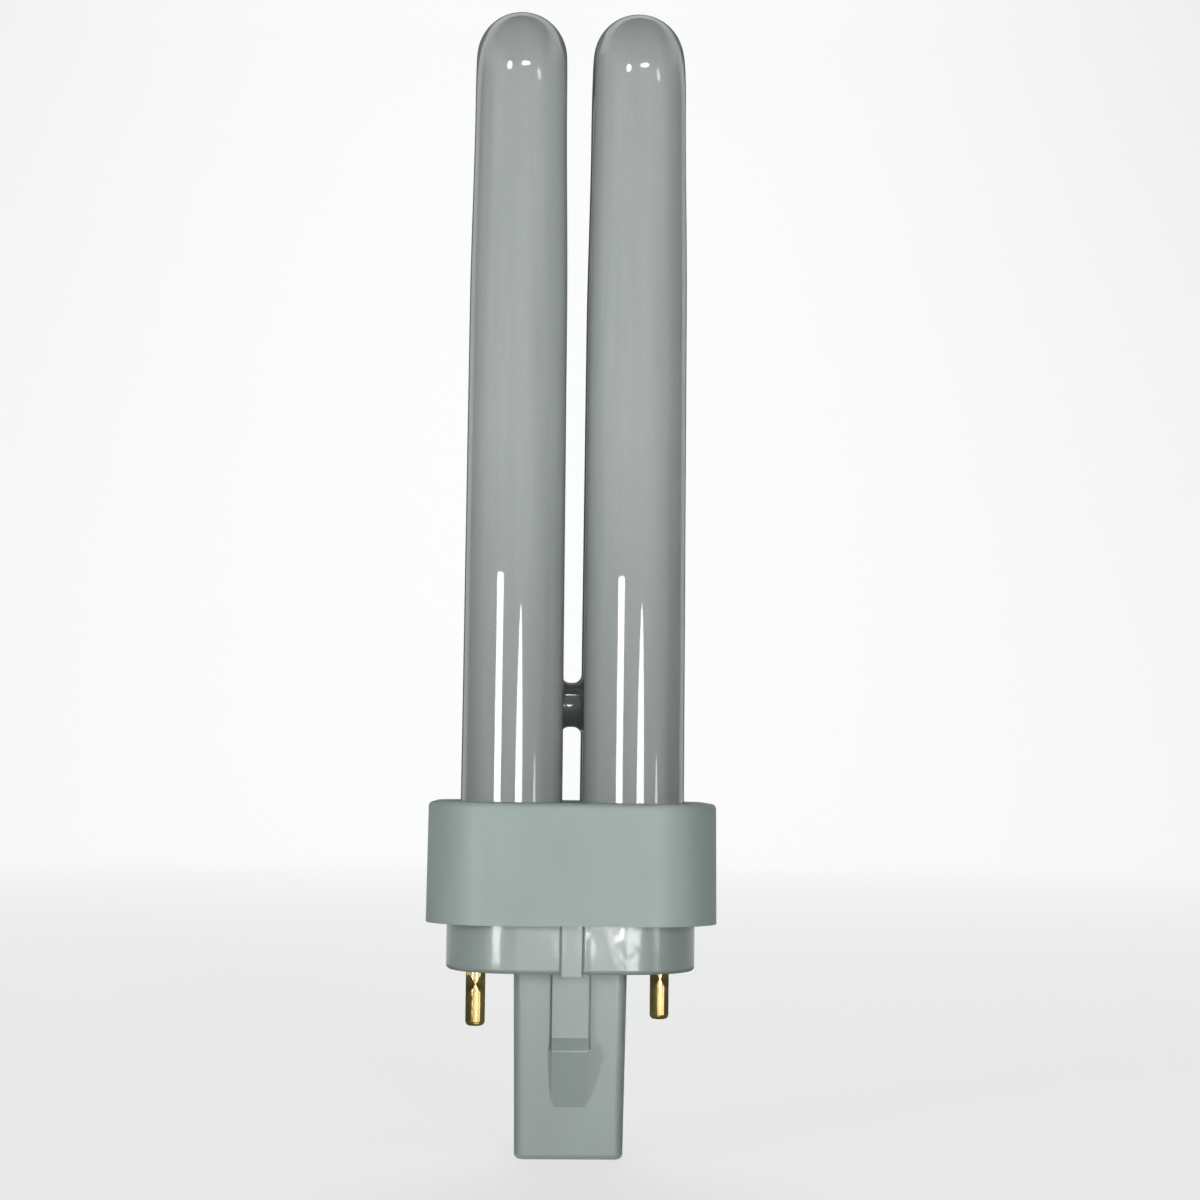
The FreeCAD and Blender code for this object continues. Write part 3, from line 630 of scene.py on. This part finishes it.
def cloud(tree, scale, detail=2.0, roughness=0.5, attribute=None):
    """Soft noise, as a number between 0 and 1, that is finer along an axis with a larger scale."""
    noise = tree.nodes.new("ShaderNodeTexNoise")
    noise.inputs["Scale"].default_value = 1.0
    noise.inputs["Detail"].default_value = detail
    noise.inputs["Roughness"].default_value = roughness
    tree.links.new(coordinates(tree, scale, attribute), noise.inputs["Vector"])
    return noise.outputs["Fac"]


def between(tree, value, low, high, from_low=0.3, from_high=0.7):
    """Number that goes from low to high as a noise value goes through its usual range."""
    spread = tree.nodes.new("ShaderNodeMapRange")
    for socket, number in (("From Min", from_low), ("From Max", from_high),
                           ("To Min", low), ("To Max", high)):
        spread.inputs[socket].default_value = number
    tree.links.new(value, spread.inputs["Value"])
    return spread.outputs["Result"]


def blended(tree, factor, first, second, kind="MIX"):
    """Colour between two colours or colour outputs, by a factor output or number.

    The node names its number and its colour sockets alike, so they are reached by their order.
    """
    mix = tree.nodes.new("ShaderNodeMix")
    mix.data_type = "RGBA"
    mix.blend_type = kind
    for number, value in ((MIX_FACTOR, factor), (MIX_FIRST, first), (MIX_SECOND, second)):
        if isinstance(value, (int, float, tuple)):
            mix.inputs[number].default_value = value
        else:
            tree.links.new(value, mix.inputs[number])
    return mix.outputs[MIX_COLOUR]


def mottled(tree, noise, first, second, share=1.0, from_low=0.3, from_high=0.7):
    """First colour, clouded where the noise is high with at most a share of the second."""
    return blended(tree, between(tree, noise, 0.0, share, from_low, from_high), first, second)


def relief(tree, height, depth, strength=1.0):
    """Normal of a surface with a relief of the given depth in metres."""
    bump = tree.nodes.new("ShaderNodeBump")
    bump.inputs["Strength"].default_value = strength
    bump.inputs["Distance"].default_value = depth
    tree.links.new(height, bump.inputs["Height"])
    return bump.outputs["Normal"]


coated_glass, tree, shader = new_material("coated_glass")
streaks = cloud(tree, (420, 420, 22), detail=3.0, attribute="glass_lie")
patches = cloud(tree, (90, 90, 40))
powder = cloud(tree, 2600, roughness=0.6)
ripple = cloud(tree, (260, 260, 60), detail=1.0, attribute="glass_lie")
tone = mottled(tree, streaks, COAT_SHADE, COAT_LIGHT)
tone = mottled(tree, patches, tone, COAT_LILAC, COAT_LILAC_SHARE)
tone = mottled(tree, powder, tone, COAT_GRAIN, COAT_GRAIN_SHARE)
height = tree.nodes.new("ShaderNodeSeparateXYZ")
tree.links.new(coordinates(tree, 1), height.inputs["Vector"])
# Darker towards the cap: partly the coat's greying near the electrodes, partly painted shade.
greying_and_painted_shade = between(tree, height.outputs["Z"], COAT_GREYED_AND_SHADED_BY_CAP, 1.0, GREYING_AND_SHADE_FROM_Z, GREYING_AND_SHADE_TO_Z)
tree.links.new(blended(tree, 1.0, tone, greying_and_painted_shade, "MULTIPLY"), shader.inputs["Base Color"])
tree.links.new(relief(tree, ripple, GLASS_RIPPLE_DEPTH, strength=0.6), shader.inputs["Coat Normal"])
tree.links.new(relief(tree, powder, COAT_GRAIN_DEPTH, strength=0.3), shader.inputs["Normal"])
shader.inputs["Roughness"].default_value = COAT_ROUGHNESS
shader.inputs["Specular IOR Level"].default_value = COAT_SHEEN
shader.inputs["Coat Weight"].default_value = 1.0
shader.inputs["Coat IOR"].default_value = GLASS_IOR
shader.inputs["Coat Roughness"].default_value = GLASS_ROUGHNESS

centre_lines = bpy.data.meshes.new("tube_lines")
top = bend_z + bend_radius
path = [(-bend_radius, leg_end_z), (-bend_radius, top), (bend_radius, top), (bend_radius, leg_end_z)]
corners = [(x, y, z) for x in (-LEG_PITCH_X / 2, LEG_PITCH_X / 2) for y, z in path]
centre_lines.from_pydata(corners, [(0, 1), (1, 2), (2, 3), (4, 5), (5, 6), (6, 7)], [])
tubes = grown("tube_lines", centre_lines, tube_tree(), {
    "Bend radius": bend_radius, "Cap z": leg_end_z, "Bend z": bend_z,
    "Radius at cap": TUBE_RADIUS_AT_CAP, "Radius at bend": TUBE_RADIUS_AT_BEND,
    "Narrowing": BEND_NARROWING, "Narrows from z": NARROWS_FROM_Z,
    "End rounding": LEG_END_ROUNDING, "Step": PATH_STEP, "Wave": GLASS_WAVE,
    "Wave scale": GLASS_WAVE_SCALE, "Bend steps": BEND_STEPS, "Sides": TUBE_SIDES,
    "Glass": coated_glass,
})
glass = bmesh.new()
glass.from_mesh(tubes)
lie_layer = glass.verts.layers.float_vector["glass_lie"]
drawn = set(glass.verts)
add_bridge(glass)
for x in (-LEG_PITCH_X / 2, LEG_PITCH_X / 2):
    add_press(glass, x, -LEG_PITCH_Y / 2)
add_tip(glass, -LEG_PITCH_X / 2, LEG_PITCH_Y / 2)
for vertex in glass.verts:
    if vertex not in drawn:
        vertex[lie_layer] = vertex.co
bmesh.ops.recalc_face_normals(glass, faces=glass.faces)
glass_mesh = bpy.data.meshes.new("tube_glass")
glass.to_mesh(glass_mesh)
glass.free()
tube_glass = show("tube_glass", glass_mesh, coated_glass)
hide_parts("discharge_tube")
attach(tube_glass, "root")


# Collar, the upper half of the cap: a thin satin moulding with a socket for each leg. The mould's
# spark-eroded skin leaves a fine grain, and handling leaves faintly shinier patches on it.
COLLAR_LIGHT = (0.352, 0.430, 0.402, 1)
COLLAR_SHADE = (0.320, 0.392, 0.367, 1)
SPECK_COLOUR = (0.26, 0.29, 0.28, 1)
SPECK_SHARE = 0.12
SHINIER_BY = 0.02
DULLER_BY = 0.03
POLISHED_ROUGHNESS = 0.10


def moulded_plastic(name, light, shade, roughness, grain_scale, grain_depth, polish=0.0,
                    ripple_depth=0.0):
    """Moulded plastic: colour that drifts a little, fine specks, a grained skin and soft wear.

    A polished one shows the slow ripples of its skin, where it shrank over the ribs inside.
    """
    material, tree, shader = new_material(name)
    drift = cloud(tree, (110, 110, 70), detail=3.0)
    specks = cloud(tree, 5200, detail=1.0)
    handled = cloud(tree, 120)
    grain = cloud(tree, grain_scale, detail=4.0, roughness=0.6)
    tone = mottled(tree, drift, shade, light)
    tone = mottled(tree, specks, tone, SPECK_COLOUR, SPECK_SHARE, from_low=0.66, from_high=0.80)
    wear = between(tree, handled, roughness - SHINIER_BY, roughness + DULLER_BY)
    tree.links.new(tone, shader.inputs["Base Color"])
    tree.links.new(wear, shader.inputs["Roughness"])
    tree.links.new(relief(tree, grain, grain_depth, strength=0.5), shader.inputs["Normal"])
    shader.inputs["Coat Weight"].default_value = polish
    shader.inputs["Coat Roughness"].default_value = POLISHED_ROUGHNESS
    if ripple_depth:
        ripples = cloud(tree, (330, 330, 240))
        tree.links.new(relief(tree, ripples, ripple_depth), shader.inputs["Coat Normal"])
    return material


def dress(node, material):
    """Gives a node of the frame its material."""
    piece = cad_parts[node]
    piece.data.materials.clear()
    piece.data.materials.append(material)


dress("cap_collar", moulded_plastic(
    "satin_plastic", COLLAR_LIGHT, COLLAR_SHADE, roughness=0.50, grain_scale=3400,
    grain_depth=0.00002))


# Cement that bonds the four glass legs in the collar's sockets. It was poured round them from below
# and has set hard, pale and gritty.
CEMENT_DARK = (0.48, 0.45, 0.40, 1)
CEMENT_LIGHT = (0.72, 0.70, 0.65, 1)
CEMENT_GRIT_DEPTH = 0.00015
CEMENT_ROUGHNESS = 0.92
cement, tree, shader = new_material("set_cement")
grit = cloud(tree, 900, detail=5.0, roughness=0.7)
tree.links.new(mottled(tree, grit, CEMENT_DARK, CEMENT_LIGHT), shader.inputs["Base Color"])
tree.links.new(relief(tree, grit, CEMENT_GRIT_DEPTH, strength=0.8), shader.inputs["Normal"])
shader.inputs["Roughness"].default_value = CEMENT_ROUGHNESS
dress("leg_cement", cement)


# Wires from the electrodes in the front legs, two to the contact pins and two to the starter: plain
# drawn wire, with the die's fine marks along it.
WIRE_DARK = (0.30, 0.27, 0.24, 1)
WIRE_LIGHT = (0.58, 0.55, 0.50, 1)
wire, tree, shader = new_material("drawn_wire")
marks = cloud(tree, (6000, 6000, 500), detail=3.0)
tree.links.new(mottled(tree, marks, WIRE_DARK, WIRE_LIGHT), shader.inputs["Base Color"])
tree.links.new(between(tree, marks, 0.28, 0.42), shader.inputs["Roughness"])
shader.inputs["Metallic"].default_value = 1.0
for node in ("pin_wire_left", "pin_wire_right", "starter_wire_left", "starter_wire_right"):
    dress(node, wire)


# Base, the lower half of the cap: disc, key ribs, plug and latches in one moulding, from a
# polished mould, so it is glossier than the collar above it.
BASE_LIGHT = (0.307, 0.370, 0.347, 1)
BASE_SHADE = (0.280, 0.336, 0.316, 1)
dress("cap_base", moulded_plastic(
    "glossy_plastic", BASE_LIGHT, BASE_SHADE, roughness=0.36, grain_scale=900,
    grain_depth=0.00001, polish=0.5, ripple_depth=0.00012))


# Starter inside the plug: a glow switch in a small glass bottle and a dipped capacitor, with the
# leads of both soldered to the electrodes' wires.
BOTTLE_DARK = (0.36, 0.40, 0.39, 1)
BOTTLE_LIGHT = (0.58, 0.62, 0.60, 1)
BOTTLE_ROUGHNESS = 0.12
RESIN_DARK = (0.22, 0.075, 0.020, 1)
RESIN_LIGHT = (0.36, 0.140, 0.035, 1)
RESIN_RUN_DEPTH = 0.00005
RESIN_ROUGHNESS = 0.30
SOLDER_DARK = (0.42, 0.43, 0.44, 1)
SOLDER_LIGHT = (0.66, 0.67, 0.68, 1)

bottle, tree, shader = new_material("bottle_glass")
smoke = cloud(tree, (180, 180, 120), detail=3.0)
tree.links.new(mottled(tree, smoke, BOTTLE_DARK, BOTTLE_LIGHT), shader.inputs["Base Color"])
shader.inputs["Roughness"].default_value = BOTTLE_ROUGHNESS
shader.inputs["Coat Weight"].default_value = 1.0
dress("starter_bottle", bottle)

resin, tree, shader = new_material("dipped_resin")
runs = cloud(tree, (500, 500, 180), detail=3.0)
tree.links.new(mottled(tree, runs, RESIN_DARK, RESIN_LIGHT), shader.inputs["Base Color"])
tree.links.new(relief(tree, runs, RESIN_RUN_DEPTH, strength=0.6), shader.inputs["Normal"])
shader.inputs["Roughness"].default_value = RESIN_ROUGHNESS
dress("starter_capacitor", resin)

solder, tree, shader = new_material("solder")
frost = cloud(tree, 2400, detail=4.0)
tree.links.new(mottled(tree, frost, SOLDER_DARK, SOLDER_LIGHT), shader.inputs["Base Color"])
tree.links.new(between(tree, frost, 0.22, 0.50), shader.inputs["Roughness"])
shader.inputs["Metallic"].default_value = 1.0
dress("solder_joint_left", solder)
dress("solder_joint_right", solder)


# Contact pins, drawn brass tube with a rounded tip, crimped on the wire inside it. Polished, with
# a brown tarnish that the lamp holder's springs haven't rubbed off yet.
BRASS_BRIGHT = (0.86, 0.66, 0.27, 1)
BRASS_TARNISHED = (0.46, 0.27, 0.10, 1)
TARNISH_SHARE = 0.55
DRAWING_SHARE = 0.25
DRAWING_DEPTH = 0.000002
brass, tree, shader = new_material("brass")
tarnish = cloud(tree, (700, 700, 450), detail=4.0, roughness=0.6)
drawing = cloud(tree, (9000, 9000, 400))
tone = mottled(tree, tarnish, BRASS_BRIGHT, BRASS_TARNISHED, TARNISH_SHARE,
               from_low=0.45, from_high=0.75)
tone = mottled(tree, drawing, tone, BRASS_TARNISHED, DRAWING_SHARE)
tree.links.new(tone, shader.inputs["Base Color"])
tree.links.new(between(tree, tarnish, 0.06, 0.15), shader.inputs["Roughness"])
tree.links.new(relief(tree, drawing, DRAWING_DEPTH, strength=0.4), shader.inputs["Normal"])
shader.inputs["Metallic"].default_value = 1.0
dress("contact_pin_left", brass)
dress("contact_pin_right", brass)
